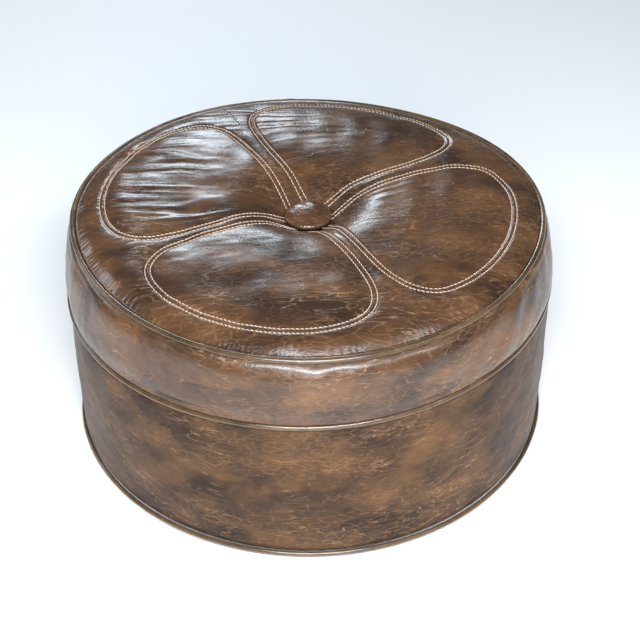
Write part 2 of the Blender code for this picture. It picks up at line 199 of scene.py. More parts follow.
def seam(name):
    """Radius and height of a piped seam's middle, from the box of its cord."""
    low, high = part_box(name + "_cord")
    return high.x - CORD_RADIUS, (low.z + high.z) / 2


TOP_RADIUS, TOP_HEIGHT = seam("top_welt")
MIDDLE_RADIUS, MIDDLE_HEIGHT = seam("middle_welt")
BOTTOM_RADIUS, BOTTOM_HEIGHT = seam("bottom_welt")


def top_seam(angle):
    """The sewn top seam wavers about its circle: three lobes of some millimetres, and it sags and is drawn
    in behind, most of all behind on the viewer's right."""
    bearing = (angle - VIEW_TURN + math.pi) % (2 * math.pi) - math.pi
    behind = np.maximum(np.sin(bearing), 0)
    sag = np.exp(-(((bearing - 0.95) / 0.62) ** 2))
    radius = TOP_RADIUS + 0.0032 * np.sin(3 * bearing) - 0.0045 * behind - 0.0055 * sag
    height = TOP_HEIGHT - 0.0048 * behind - 0.0036 * sag
    return radius + wander(angle, 3, 0.0006), height + wander(angle, 5, 0.0007)


def middle_seam(angle):
    """The middle seam wavers less, but it was pulled up by some millimetres on the viewer's right."""
    lean = 0.0064 * np.cos(angle - VIEW_TURN) - 0.0012 * np.sin(angle - VIEW_TURN)
    return MIDDLE_RADIUS + wander(angle, 7, 0.0005), MIDDLE_HEIGHT + lean + wander(angle, 9, 0.0005)


def bottom_seam(angle):
    """The bottom piping keeps its height all the way round."""
    return BOTTOM_RADIUS + wander(angle, 11, 0.0005), BOTTOM_HEIGHT + 0 * angle


# The seat's top


def seat_crown(radius):
    """The flat crown that rolls over at its edge as a high power of the radius, less the button's pit, a
    bell curve, as in the CAD model."""
    crown = CROWN * (1 - np.minimum(radius / CROWN_RADIUS, 1.02) ** CROWN_POWER)
    return TOP_HEIGHT + crown - TUFT_DEPTH * np.exp(-((radius / TUFT_SPREAD) ** 2))


def petal_field(x, y, turn):
    """Smooth maximum of the distances past a petal's side and past its reach: zero on its outline."""
    radius = np.hypot(x, y)
    bearing = np.abs((np.arctan2(y, x) - turn + math.pi) % (2 * math.pi) - math.pi)
    side = CHANNEL_ROOT - CHANNEL_TAPER * radius - radius * np.sin(math.pi / PETALS - bearing)
    side = np.where(bearing > 3 * math.pi / 4, CHANNEL_ROOT + radius, side)
    return PETAL_ROUNDING * np.logaddexp(side / PETAL_ROUNDING, (radius - PETAL_REACH) / PETAL_ROUNDING)


def one_petal(x, y, turn):
    """Signed distance to one petal's outer row, negative inside it: its field over the field's slope. The
    petal's middle points in the direction turn."""
    step = 2e-4
    slope_x = petal_field(x + step, y, turn) - petal_field(x - step, y, turn)
    slope_y = petal_field(x, y + step, turn) - petal_field(x, y - step, turn)
    slope = np.hypot(slope_x, slope_y) / (2 * step)
    return petal_field(x, y, turn) / np.maximum(slope, 0.5)


def petal_distance(x, y):
    """Signed distance to the nearest petal's outer row."""
    distance = one_petal(x, y, PETAL_TURNS[0])
    for turn in PETAL_TURNS[1:]:
        distance = np.minimum(distance, one_petal(x, y, turn))
    return distance


def quilting(x, y):
    """Rise of the leather over its padding, from its distance to the nearest petal's rows: it tends
    exponentially to full height away from them on either side, with a bell-shaped roll between the two
    rows of each pair and a bell-shaped groove along each row."""
    distance = petal_distance(x, y)
    within = np.maximum(-distance - ROW_GAP, 0)
    beyond = np.maximum(distance, 0)
    rise = PETAL_RISE * (1 - np.exp(-within / 0.020)) + FIELD_RISE * (1 - np.exp(-beyond / 0.010))
    rise += ROLL_RISE * np.exp(-(((distance + ROW_GAP / 2) / 0.0019) ** 2))
    for row in (0, -ROW_GAP):
        rise -= GROOVE_DEPTH * np.exp(-(((distance - row) / 0.0013) ** 2))
    return rise * smooth_step(0.012, 0.045, np.hypot(x, y))


def from_viewer(x, y):
    """The same place measured to the viewer's right and away from the viewer."""
    turn_cos, turn_sin = math.cos(VIEW_TURN), math.sin(VIEW_TURN)
    return x * turn_cos + y * turn_sin, y * turn_cos - x * turn_sin


def ridges(x, y, centre, size, turn, pitch, height, seed):
    """A patch of nearly parallel creases: a power of a sine wave across one direction, whose phase wavers
    by a random field, fading out past its half length and half width."""
    dx, dy = x - centre[0], y - centre[1]
    turn = math.radians(turn)
    along = dx * math.cos(turn) + dy * math.sin(turn)
    across = dy * math.cos(turn) - dx * math.sin(turn)
    place = np.stack([along / 6, across], -1)
    waver = rough_field(place, pitch * 2.2, seed) * 0.26
    wave = 0.5 + 0.5 * np.sin(2 * math.pi * (across / pitch + waver))
    strength = 0.75 + 0.35 * rough_field(place, pitch * 3.2, seed + 1)
    fade = np.exp(-((np.abs(along) / size[0]) ** 2.6) - (np.abs(across) / size[1]) ** 2.6)
    return height * fade * strength * (wave ** 2.2 - 0.35)


# Each patch: its middle (to the right, away), its half length and half width, turn, pitch, height
CREASES = (
    ((-0.174, 0.060), (0.053, 0.080), -5, 0.0235, 0.0027),
    ((-0.165, 0.050), (0.045, 0.060), -8, 0.0150, 0.0002),
    ((-0.090, 0.186), (0.046, 0.036), -3, 0.0125, 0.0008),
    ((-0.034, 0.172), (0.042, 0.030), 2, 0.0120, 0.0008),
    ((-0.128, -0.030), (0.055, 0.012), 12, 0.0180, 0.0011),
    ((-0.060, -0.046), (0.060, 0.026), 22, 0.0260, 0.0005),
    ((0.062, 0.020), (0.052, 0.026), 20, 0.0190, 0.0008),
    ((-0.150, -0.182), (0.034, 0.014), -30, 0.0120, 0.0006),
    ((0.095, -0.055), (0.090, 0.024), 0, 0.0120, 0.0002),
    ((0.120, 0.090), (0.060, 0.050), -12, 0.0140, 0.0002),
    ((0.020, 0.120), (0.090, 0.030), 3, 0.0160, 0.0002),
)

# Where the seat's leather is gathered most at the top seam: direction from the viewer's right, and spread
GATHERS = ((195, 24), (172, 14), (232, 10), (334, 9), (318, 5), (265, 26), (20, 10), (120, 20), (60, 12))


def gather_strength(angle):
    """How strongly the seam gathers the leather: a little everywhere, more by a bell curve of the
    direction for each one in GATHERS, and 1 at most."""
    strength = 0.22 + 0 * angle
    for middle, spread in GATHERS:
        off = np.abs((np.degrees(angle - VIEW_TURN) - middle + 180) % 360 - 180)
        strength = strength + 0.7 * np.exp(-((off / spread) ** 2))
    return np.minimum(strength, 1)


def gathers(angle, inward, seed, pitch=0.0062, reach=0.009, height=0.00042):
    """Short puckers that start at a seam and run out within a centimetre or two of it: sine waves round
    the axis that fade exponentially inwards, over a reach that wavers."""
    turns = round(2 * math.pi * TOP_RADIUS / pitch)
    shift = wander(angle, seed, 5.0, 5, 40)
    wave = np.sin(turns * angle + shift * 2)
    uneven = 0.7 + 0.5 * wander(angle, seed + 1, 1.0, 9, 40)
    fade = np.exp(-inward / (reach * (0.7 + 0.5 * np.abs(wander(angle, seed + 2, 1.0, 14, 60)))))
    return height * gather_strength(angle) * uneven * wave * fade


def seat_rise(x, y):
    """Everything that lifts the leather above its plain crown: the sum of the quilting, the creases, a
    slow random swell and the puckers at the seam."""
    right, away = from_viewer(x, y)
    flat = np.stack([right, away], -1)
    rise = quilting(x, y)
    for number, (centre, size, turn, pitch, height) in enumerate(CREASES):
        rise = rise + ridges(right, away, centre, size, turn, pitch, height, 40 + 3 * number)
    stretched = np.stack([right / 2.2, away], -1)
    rise = rise + 0.00030 * rough_field(flat, 0.060, 81) + 0.00005 * rough_field(stretched, 0.014, 82, 40)
    radius = np.hypot(x, y)
    rise = rise * smooth_step(0.012, 0.050, radius) * (1 - smooth_step(0.245, CROWN_RADIUS, radius))
    inward = np.maximum(PIPING_EDGE - radius, 0)
    angle = np.arctan2(y, x)
    left = np.exp(-((((angle - VIEW_TURN - 3.45 + math.pi) % (2 * math.pi) - math.pi) / 0.45) ** 2))
    pleats = gathers(angle, inward, 90)
    pleats = pleats + left * gathers(angle, inward, 95, pitch=0.0105, reach=0.018, height=0.0009)
    return rise + pleats * smooth_step(0.10, 0.2, radius)


def follow_seam(points):
    """Moves points of the seat's soft layers with the top seam: fully at the rim, not at all towards the
    middle or down at the middle seam."""
    x, y, z = points[..., 0], points[..., 1], points[..., 2]
    radius, angle = np.hypot(x, y), np.arctan2(y, x)
    seam_radius, seam_height = top_seam(angle)
    share = np.clip((z - MIDDLE_HEIGHT) / (TOP_HEIGHT - MIDDLE_HEIGHT), 0, 1)
    share = share * smooth_step(0.14, CROWN_RADIUS, radius)
    return around_axis(radius + (seam_radius - TOP_RADIUS) * share, angle,
                       z + (seam_height - TOP_HEIGHT) * share)


def on_seat(x, y, lift=0.0):
    """Points on the seat's leather above plan places, or a little off it along its normal. Near the seam
    the leather follows the seam's wavering."""
    step = 0.0004
    radius, angle = np.hypot(x, y), np.arctan2(y, x)
    height = seat_crown(radius) + seat_rise(x, y)
    if np.any(lift):
        slope_x = (seat_crown(np.hypot(x + step, y)) + seat_rise(x + step, y) - height) / step
        slope_y = (seat_crown(np.hypot(x, y + step)) + seat_rise(x, y + step) - height) / step
        size = np.sqrt(1 + slope_x ** 2 + slope_y ** 2)
        x, y, height = x - lift * slope_x / size, y - lift * slope_y / size, height + lift / size
        radius, angle = np.hypot(x, y), np.arctan2(y, x)
    return follow_seam(around_axis(radius, angle, height))


def seam_angles(count):
    """Directions round the axis, starting at the join behind the hassock."""
    return JOIN_ANGLE + np.arange(count) * 2 * math.pi / count


def make_top_panel():
    """The seat's leather: a fine upper side, a tuck under the piping, and a plain lower side."""
    angle = seam_angles(AROUND)[:, None]
    inner, outer = np.linspace(SEAT_HOLE, 0.165, 74), np.linspace(0.165, SEAT_EDGE, 88)
    radius = np.concatenate([inner, outer[1:]])[None, :]
    upper = on_seat(radius * np.cos(angle), radius * np.sin(angle))
    seam_radius, seam_height = top_seam(angle)
    tuck = np.array([(-0.0037, -0.0002), (-0.0046, -0.0005), (-0.0100, -0.0002)])
    under = around_axis(seam_radius + tuck[:, 0], angle, seam_height + 0.0022 + tuck[:, 1])
    back = np.linspace(0.246, SEAT_HOLE, 12)[None, :]
    below = follow_seam(around_axis(back, angle, seat_crown(back) - LEATHER - 0.0002))
    points = np.concatenate([upper, under, below], axis=1)
    return ring_mesh("top_cover", points, *from_viewer(*closed_plan(points)))


# Stitching


def petal_row(turn, inset):
    """Plan places along one petal's stitch row, from the button round and back: on rays from inside the
    petal, the place where its distance is -inset, found by halving, then spaced evenly."""
    ray = np.linspace(-1, 1, 5000) * (math.pi - 0.06) + turn
    start_x, start_y = 0.125 * math.cos(turn), 0.125 * math.sin(turn)
    near, far = np.zeros(ray.size), np.full(ray.size, 0.16)
    for _ in range(34):
        reach = (near + far) / 2
        inside = one_petal(start_x + reach * np.cos(ray), start_y + reach * np.sin(ray), turn) < -inset
        near, far = np.where(inside, reach, near), np.where(inside, far, reach)
    return evenly(np.stack([start_x + near * np.cos(ray), start_y + near * np.sin(ray)], -1), 0.0005)


def evenly(line, spacing):
    """The same line with points at an even spacing."""
    along = np.concatenate([[0], np.cumsum(np.linalg.norm(np.diff(line, axis=0), axis=1))])
    at = np.linspace(0, along[-1], max(2, round(along[-1] / spacing)))
    return np.stack([np.interp(at, along, column) for column in line.T], -1)


def unit(vectors):
    """The same directions with a length of 1."""
    return vectors / np.linalg.norm(vectors, axis=-1, keepdims=True)


def stitch_run(line, normal, seed):
    """Separate stitches along a line: each one is a thread that comes up at one end, swells over the
    leather and goes down at the other, with a little of the sewer's unevenness. Its height over the line
    goes as the square root of a half sine wave, and it has RINGS rings of SIDES corners."""
    length, thick = STITCH_LENGTH, THREAD_RADIUS
    draw = np.random.default_rng(seed)
    along = np.concatenate([[0], np.cumsum(np.linalg.norm(np.diff(line, axis=0), axis=1))])
    count = int(along[-1] / STITCH_PITCH)
    middle = (np.arange(count) + 0.5) * along[-1] / count + draw.normal(0, 0.00012, count)
    t = np.linspace(0, 1, RINGS)
    at = middle[:, None] + (t - 0.5)[None, :] * length
    centre = np.stack([np.interp(at, along, column) for column in line.T], -1)
    up = unit(np.stack([np.interp(at, along, column) for column in normal.T], -1))
    forward = unit(np.gradient(centre, axis=1))
    side = np.cross(forward, up)
    arch = np.sin(math.pi * t)
    lift = thick * (1.15 * arch ** 0.5 - 0.35)
    slant = (t - 0.5) * thick * 0.9
    thickness = thick * (0.35 + 0.65 * arch ** 0.45)[None, :] * (1 + draw.normal(0, 0.05, (count, 1)))
    centre = centre + up * lift[:, None] + side * slant[:, None]
    turn = np.arange(SIDES) * 2 * math.pi / SIDES
    ring = side[:, :, None] * np.cos(turn)[:, None] + up[:, :, None] * np.sin(turn)[:, None]
    points = centre[:, :, None] + ring * thickness[..., None, None]
    steps = RINGS - 1
    stitch, step, corner = np.meshgrid(np.arange(count), np.arange(steps), np.arange(SIDES), indexing="ij")
    near = (stitch * RINGS + step) * SIDES
    far, after = near + SIDES, (corner + 1) % SIDES
    quads = np.stack([near + corner, near + after, far + after, far + corner], -1)
    first = np.arange(count)[:, None] * RINGS * SIDES
    lows = first + np.arange(SIDES)[::-1]
    highs = first + steps * SIDES + np.arange(SIDES)
    u = np.broadcast_to(t[:, None] * length, (RINGS, SIDES))
    v = np.broadcast_to(np.arange(SIDES + 1) * thick, (steps, SIDES + 1))
    hide = np.stack([np.stack([u[:-1], u[:-1], u[1:], u[1:]], -1),
                     np.stack([v[:, :-1], v[:, 1:], v[:, 1:], v[:, :-1]], -1)], -1)
    pairs = [np.broadcast_to(hide, (count, steps, SIDES, 4, 2)).reshape(-1, 4, 2),
             np.zeros((count, SIDES, 2)), np.zeros((count, SIDES, 2))]
    return points.reshape(-1, 3), [quads.reshape(-1, 4), lows, highs], pairs


def join_runs(name, runs):
    """One object from several runs of stitches."""
    offset = 0
    points, faces, pairs = [], [[], [], []], [[], [], []]
    for run_points, run_faces, run_pairs in runs:
        for group in range(3):
            faces[group].append(run_faces[group] + offset)
            pairs[group].append(run_pairs[group])
        points.append(run_points)
        offset += len(run_points)
    return make_mesh(name, np.concatenate(points), [np.concatenate(group) for group in faces],
                     [np.concatenate(group) for group in pairs])


def make_petal_stitching(number):
    """Both rows of one petal."""
    runs = []
    for row, inset in enumerate((0.0, ROW_GAP)):
        x, y = petal_row(PETAL_TURNS[number], inset).T
        line = on_seat(x, y, 0.0002)
        runs.append(stitch_run(line, unit(on_seat(x, y, 0.0015) - line), 200 + 10 * number + row))
    return join_runs(f"petal_thread_{number + 1}", runs)


# The bands


def band_join(angle, depth=0.0009):
    """The narrow valley where a band's two ends are sewn together, behind the hassock: a narrow bell curve
    down, on a wider and lower one up."""
    off = (angle - JOIN_ANGLE + math.pi) % (2 * math.pi) - math.pi
    across = off * MIDDLE_RADIUS
    return -depth * np.exp(-((across / 0.0016) ** 2)) + 0.4 * depth * np.exp(-((across / 0.007) ** 2))


def band_points(outer, inner, angle, push, start, end):
    """A band's closed section carried round: its outer line runs from one seam to the other, pushed out
    by push, and its inner line runs back. Each line's height is a share between the two seams."""
    (start_radius, start_height), (end_radius, end_height) = start, end
    lines = []
    for line, pushed in ((outer, push), (inner, 0)):
        share = line[:, 1][None, :]
        radius = start_radius * share + end_radius * (1 - share) + line[:, 0][None, :] + pushed
        lines.append(around_axis(radius, angle, start_height * share + end_height * (1 - share)))
    return np.concatenate(lines, axis=1)


def make_upper_band():
    """The soft band: a round shoulder under the top piping, full lower down, drawn in at the middle one.
    Its section is two smooth lines. Random fields swell it between the seams, it leans in at the sides and
    behind but not in front, and its puckers fade away from each seam."""
    angle = seam_angles(AROUND)[:, None]
    outer = spline([(-0.0050, 0.988), (-0.0002, 0.974), (0.0034, 0.945), (0.0068, 0.895), (0.0092, 0.815),
                    (0.0098, 0.700), (0.0088, 0.500), (0.0066, 0.300), (0.0040, 0.150), (0.0027, 0.085),
                    (0.0014, 0.050), (-0.0036, 0.034)], 64)
    inner = spline([(-0.0066, 0.040), (0.0010, 0.110), (0.0050, 0.300), (0.0058, 0.640), (0.0040, 0.840),
                    (-0.0040, 0.955)], 12)
    share = outer[:, 1][None, :]
    circle = around_axis(MIDDLE_RADIUS, angle, MIDDLE_HEIGHT + share * (TOP_HEIGHT - MIDDLE_HEIGHT))
    free = smooth_step(0.03, 0.16, share) * (1 - smooth_step(0.84, 0.985, share))
    push = 0.0010 * rough_field(circle * (1, 1, 0.8), 0.130, 301) + 0.00045 * rough_field(circle, 0.045, 302)
    slanted = np.stack([circle[..., 0], circle[..., 1], circle[..., 2] / 2.5], -1)
    push = push + 0.00008 * rough_field(slanted, 0.014, 303, 40)
    below_top = (0.985 - share) * (TOP_HEIGHT - MIDDLE_HEIGHT)
    above_middle = (share - 0.03) * (TOP_HEIGHT - MIDDLE_HEIGHT)
    leaning = np.minimum(1 + np.sin(angle - VIEW_TURN), 1) * (1 - smooth_step(0.90, 0.99, share))
    push = push - 0.0046 * leaning * smooth_step(0.25, 0.80, share)
    push = push * free + gathers(angle, below_top, 310, reach=0.008, height=0.00010)
    push = push + gathers(angle, above_middle, 320, pitch=0.0090, reach=0.006, height=0.00025)
    push = push + band_join(angle)
    points = band_points(outer, inner, angle, push, top_seam(angle), middle_seam(angle))
    u = (np.arange(AROUND + 1) * 2 * math.pi * MIDDLE_RADIUS / AROUND)[:, None]
    return ring_mesh("upper_side", points, u, section_lengths(points[0]))


def section_lengths(section):
    """Distance along a closed section, from its first point right round to it again."""
    steps = np.linalg.norm(np.roll(section, -1, axis=0) - section, axis=1)
    return np.concatenate([[0], np.cumsum(steps)])[None, :]


def make_lower_band():
    """The drum's leather: nearly straight, a little full, and drawn under the base board. Its section is
    two smooth lines, pushed in and out by slow random fields."""
    angle = seam_angles(AROUND)[:, None]
    outer = spline([(-0.0045, 0.990), (-0.0010, 0.978), (0.0004, 0.950), (0.0007, 0.880), (0.0010, 0.700),
                    (0.0008, 0.500), (0.0000, 0.300), (-0.0006, 0.120), (-0.0012, 0.045),
                    (-0.0028, 0.018)], 64)
    inner = spline([(-0.0060, 0.0045), (-0.0340, 0.0045), (-0.0340, 0.0110), (-0.0075, 0.0125),
                    (-0.0034, 0.060), (-0.0014, 0.300), (-0.0007, 0.700), (-0.0015, 0.955)], 24)
    share = outer[:, 1][None, :]
    circle = around_axis(BOTTOM_RADIUS, angle, BOTTOM_HEIGHT + share * (MIDDLE_HEIGHT - BOTTOM_HEIGHT))
    free = smooth_step(0.02, 0.10, share) * (1 - smooth_step(0.93, 0.985, share))
    push = 0.00055 * rough_field(circle, 0.110, 401) + 0.00018 * rough_field(circle, 0.030, 402)
    push = push * free + band_join(angle) * smooth_step(0.0, 0.03, share)
    points = band_points(outer, inner, angle, push, middle_seam(angle), bottom_seam(angle))
    u = (np.arange(AROUND + 1) * 2 * math.pi * BOTTOM_RADIUS / AROUND)[:, None]
    return ring_mesh("drum_side", points, u + 2.3, section_lengths(points[0]))


def make_welt(name, where, seed, size=WELT_RADIUS):
    """Piping: a leather tube round its cord, drawn into small slanting wrinkles, thinner or fuller by a
    few hundredths, with a step where its ends lap. Its cord runs inside it, with three strands' grooves
    that wind round it."""
    angle = seam_angles(AROUND)[:, None]
    turn = np.linspace(0, 2 * math.pi, 25)[None, :-1]
    radius, height = where(angle)
    wrinkles = round(2 * math.pi * BOTTOM_RADIUS / 0.0042)
    slanting = np.sin(wrinkles * angle + 1.2 * np.cos(turn) + wander(angle, seed, 3, 5, 30))
    patchy = 0.5 + 0.5 * wander(angle, seed + 1, 1.0, 6, 40)
    thick = size + 0.00009 * wander(angle, seed + 2, 1.0, 4, 50) + 0.00006 * slanting * patchy
    off = (angle - JOIN_ANGLE + math.pi) % (2 * math.pi) - math.pi
    thick = thick + 0.0005 * np.exp(-((off * radius / 0.006) ** 2))
    points = around_axis(radius + thick * np.cos(turn), angle, height + thick * np.sin(turn))
    u = (np.arange(AROUND + 1) * 2 * math.pi * TOP_RADIUS / AROUND)[:, None]
    v = np.linspace(0, 2 * math.pi * WELT_RADIUS, 25)[None, :]
    piece = ring_mesh(name + "_piping", points, u + seed, v)
    cord_around = 240
    angle, turn = seam_angles(cord_around)[:, None], np.linspace(0, 2 * math.pi, 13)[None, :-1]
    radius, height = where(angle)
    thick = CORD_RADIUS * (1 + 0.06 * np.cos(3 * turn - 260 * angle))
    points = around_axis(radius + thick * np.cos(turn), angle, height + thick * np.sin(turn))
    u = (np.arange(cord_around + 1) * 2 * math.pi * TOP_RADIUS / cord_around)[:, None]
    v = np.linspace(0, 2 * math.pi * CORD_RADIUS, 13)[None, :]
    return piece, ring_mesh(name + "_core", points, u, v)


# The button


def make_button():
    """A leather-covered dome, nearly a quarter ellipse in section, its edge rolled under, with the faint
    pleats of leather drawn over it."""
    low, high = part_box("button_cover")
    edge = (high.x - low.x) / 2
    under = 0.0032
    rim = low.z + under
    dome = high.z - low.z - under
    angle = (np.arange(180) * 2 * math.pi / 180)[:, None]
    arc = np.linspace(0.006, 1, 30) * math.pi / 2
    over = np.stack([edge * np.sin(arc) ** 0.92, rim + dome * np.cos(arc) ** 1.05], -1)
    roll = [(edge - 0.0003, rim - 0.0014), (edge - 0.0018, rim - 0.0028), (edge - 0.0050, rim - under)]
    back = [(edge - 0.0050, rim - 0.0016), (edge - 0.0022, rim - 0.0006), (0.0160, rim + dome * 0.62),
            (0.0005, rim + dome - LEATHER)]
    section = np.concatenate([over, roll, back])
    radius, height = section[:, 0][None, :], section[:, 1][None, :]
    outer_part = smooth_step(0.6 * edge, edge, radius)
    pleats = 0.00016 * np.sin(46 * angle + wander(angle, 501, 1.5, 2, 9)) * outer_part
    lumps = 0.00022 * rough_field(around_axis(radius, angle, height), 0.016, 502)
    lumps = lumps * smooth_step(0.001, 0.010, radius)
    points = around_axis(radius + pleats, angle, height + lumps)
    right, away = from_viewer(*closed_plan(points))
    return ring_mesh("button_leather", points, right + 0.31, away + 0.12)


# The underside


def make_dust_cover():
    """Thin black cloth stretched under the base: a flat disc that sags as a parabola, its edge rippled by
    64 small sine waves."""
    low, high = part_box("dust_cover")
    edge, middle = high.x, (low.z + high.z) / 2
    angle = seam_angles(360)[:, None]
    rows = 60
    radius = np.concatenate([np.linspace(0.002, edge, rows), np.linspace(edge, 0.002, rows)])[None, :]
    side = np.where(np.arange(2 * rows) < rows, 1, -1)[None, :]
    ripple = 0.00010 * np.sin(64 * angle) * smooth_step(0.75 * edge, edge, radius)
    sag = 0.0006 * (1 - (radius / edge) ** 2)
    points = around_axis(radius, angle, middle - sag + ripple + side * 0.00018)
    return ring_mesh("dust_cloth", points, *closed_plan(points)), edge


# Materials


def add_node(tree, kind, inputs=None, output=0, **settings):
    """Adds a shader node, sets or links its inputs, and returns one of its outputs."""
    node = tree.nodes.new("ShaderNode" + kind)
    for key, value in settings.items():
        setattr(node, key, value)
    for key, value in (inputs or {}).items():
        if isinstance(value, bpy.types.NodeSocket):
            tree.links.new(value, node.inputs[key])
        else:
            node.inputs[key].default_value = value
    return node.outputs[output]


def new_material(name):
    """A material, its node tree and its surface shader."""
    material = bpy.data.materials.new(name)
    material.use_nodes = True
    return material, material.node_tree, material.node_tree.nodes["Principled BSDF"]


def noise(tree, place, scale, detail=4.0, roughness=0.55, distortion=0.0):
    """Smooth noise from 0 to 1, most of it near 0.5."""
    return add_node(tree, "TexNoise", {"Vector": place, "Scale": scale, "Detail": detail,
                                       "Roughness": roughness, "Distortion": distortion})


def span(tree, value, low, high, to_low=0.0, to_high=1.0):
    """Maps one range of values to another, clamped."""
    return add_node(tree, "MapRange", {"Value": value, "From Min": low, "From Max": high,
                                       "To Min": to_low, "To Max": to_high})


def maths(tree, operation, a, b=0.0):
    """One sum on one or two values."""
    return add_node(tree, "Math", {0: a, 1: b}, operation=operation)


def mix_colour(tree, share, a, b):
    """Colour a where share is 0 and b where it is 1."""
    return add_node(tree, "Mix", {0: share, 6: a, 7: b}, output=2, data_type="RGBA", blend_type="MIX")


def colour(red, green, blue):
    """An opaque colour in linear light."""
    return (red, green, blue, 1.0)


def stretched(tree, place, scale, turn=0.0, shift=(0.0, 0.0)):
    """Flat places scaled, turned and shifted."""
    return add_node(tree, "Mapping", {"Vector": place, "Scale": (*scale, 1.0), "Rotation": (0.0, 0.0, turn),
                                      "Location": (*shift, 0.0)})


def wandering(tree, place, scale, detail, size):
    """A small smooth shift that differs from place to place, for bending a pattern's lines."""
    shift = add_node(tree, "TexNoise", {"Vector": place, "Scale": scale, "Detail": detail}, output=1)
    shift = add_node(tree, "VectorMath", {0: shift, 1: (-0.5, -0.5, 0.0)}, operation="ADD")
    return add_node(tree, "VectorMath", {0: shift, "Scale": size}, operation="SCALE")


def crackle(tree, place, scale, width, mask_scale, mask_low, mask_high):
    """Fine broken lines: the edges of cells, kept only in patches and uneven in strength."""
    edge = add_node(tree, "TexVoronoi", {"Vector": place, "Scale": scale, "Randomness": 1.0},
                    feature="DISTANCE_TO_EDGE", voronoi_dimensions="2D")
    line = span(tree, edge, 0.0, width, 1.0, 0.0)
    patch = span(tree, noise(tree, place, mask_scale, 3.0), mask_low, mask_high)
    return maths(tree, "MULTIPLY", maths(tree, "POWER", line, 1.6), patch)


def long_creases(tree, place, scale, width, turn, mask_low, mask_high):
    """Long nearly straight lines: where a much stretched noise crosses its middle value, kept in patches."""
    field = noise(tree, stretched(tree, place, (scale * 0.20, scale), turn), 1.0, 2.0, 0.45, 0.20)
    line = span(tree, maths(tree, "ABSOLUTE", maths(tree, "SUBTRACT", field, 0.5)), 0.0, width, 1.0, 0.0)
    patch = span(tree, noise(tree, place, 12.0, 2.0), mask_low, mask_high)
    return maths(tree, "MULTIPLY", maths(tree, "POWER", line, 1.3), patch)


def antiqued_leather(name, dark, middle, tan, line_colour, turn=0.0, shift=(0.0, 0.0), lines=1.0, gloss=0.27,
                     coat=0.14, shine=0.42):
    """Waxed pull-up leather: dark brown rubbed through to tan in soft patches, crossed by pale hairline
    cracks and a few long creases, glossy, with a fine pebble."""
    material, tree, shader = new_material(name)
    hide = stretched(tree, add_node(tree, "UVMap", uv_map="hide"), (1.0, 1.0), 0.0, shift)
    drift = wandering(tree, hide, 22.0, 4.0, 0.016)
    bent = add_node(tree, "VectorMath", {0: hide, 1: drift}, operation="ADD")

    cloud = noise(tree, stretched(tree, bent, (0.8, 1.15), turn), 11.0, 4.0, 0.52)
    rubbed = noise(tree, stretched(tree, bent, (0.75, 1.1), turn, (3.1, 1.7)), 20.0, 5.0, 0.56, 0.2)
    mottle = noise(tree, stretched(tree, bent, (0.55, 1.2), turn, (7.7, 5.2)), 130.0, 6.0, 0.70, 0.5)
    base = mix_colour(tree, span(tree, cloud, 0.40, 0.60), colour(*dark), colour(*middle))
    base = mix_colour(tree, span(tree, rubbed, 0.42, 0.74, 0.0, 0.9), base, colour(*tan))
    base = mix_colour(tree, span(tree, mottle, 0.38, 0.68, 0.0, 0.38), base, colour(*(0.5 * c for c in dark)))

    shake = wandering(tree, hide, 75.0, 3.0, 0.0050)
    shaken = add_node(tree, "VectorMath", {0: bent, 1: shake}, operation="ADD")
    fine = crackle(tree, stretched(tree, shaken, (0.30, 1.0), turn), 250.0, 0.20, 26.0, 0.44, 0.62)
    wide = crackle(tree, stretched(tree, shaken, (0.26, 1.0), turn + 0.35, (1.3, 4.1)), 120.0, 0.08, 17.0,
                   0.46, 0.60)
    slack = add_node(tree, "VectorMath", {0: drift, "Scale": 0.45}, operation="SCALE")
    slack = add_node(tree, "VectorMath", {0: hide, 1: slack}, operation="ADD")
    creases = long_creases(tree, slack, 100.0, 0.020, turn, 0.50, 0.60)
    slant = stretched(tree, slack, (1.0, 1.0), 0.0, (2.7, 0.9))
    across = long_creases(tree, slant, 70.0, 0.013, turn + 1.30, 0.53, 0.63)
    leaning = long_creases(tree, slant, 85.0, 0.016, turn + 0.50, 0.51, 0.61)
    creases = maths(tree, "MAXIMUM", creases, maths(tree, "MULTIPLY", leaning, 0.9))
    cracks = maths(tree, "MAXIMUM", maths(tree, "MULTIPLY", fine, 0.40), maths(tree, "MULTIPLY", wide, 0.42))
    creases = maths(tree, "MAXIMUM", creases, maths(tree, "MULTIPLY", across, 0.7))
    cracks = maths(tree, "MAXIMUM", cracks, creases)
    broken = span(tree, noise(tree, bent, 220.0, 4.0, 0.7), 0.36, 0.60, 0.15, 1.0)
    cracks = maths(tree, "MULTIPLY", cracks, broken)
    base = mix_colour(tree, maths(tree, "MULTIPLY", cracks, 0.50 * lines), base, colour(*line_colour))
    tree.links.new(base, shader.inputs["Base Color"])

    rough = span(tree, mottle, 0.3, 0.7, gloss - 0.05, gloss + 0.07)
    rough = maths(tree, "ADD", rough, maths(tree, "MULTIPLY", cracks, 0.16))
    tree.links.new(rough, shader.inputs["Roughness"])
    shader.inputs["Specular IOR Level"].default_value = shine
    shader.inputs["Coat Weight"].default_value = coat
    shader.inputs["Coat Roughness"].default_value = 0.16

    pebble = add_node(tree, "TexVoronoi", {"Vector": bent, "Scale": 620.0}, voronoi_dimensions="2D")
    grain = maths(tree, "MULTIPLY", pebble, 0.16)
    soft = maths(tree, "MULTIPLY", noise(tree, stretched(tree, bent, (0.4, 1.0), turn), 70.0, 5.0, 0.6), 0.14)
    height = maths(tree, "SUBTRACT", maths(tree, "ADD", grain, soft), maths(tree, "MULTIPLY", cracks, 0.5))
    bump = add_node(tree, "Bump", {"Height": height, "Strength": 0.42, "Distance": 0.0010})
    tree.links.new(bump, shader.inputs["Normal"])
    return material


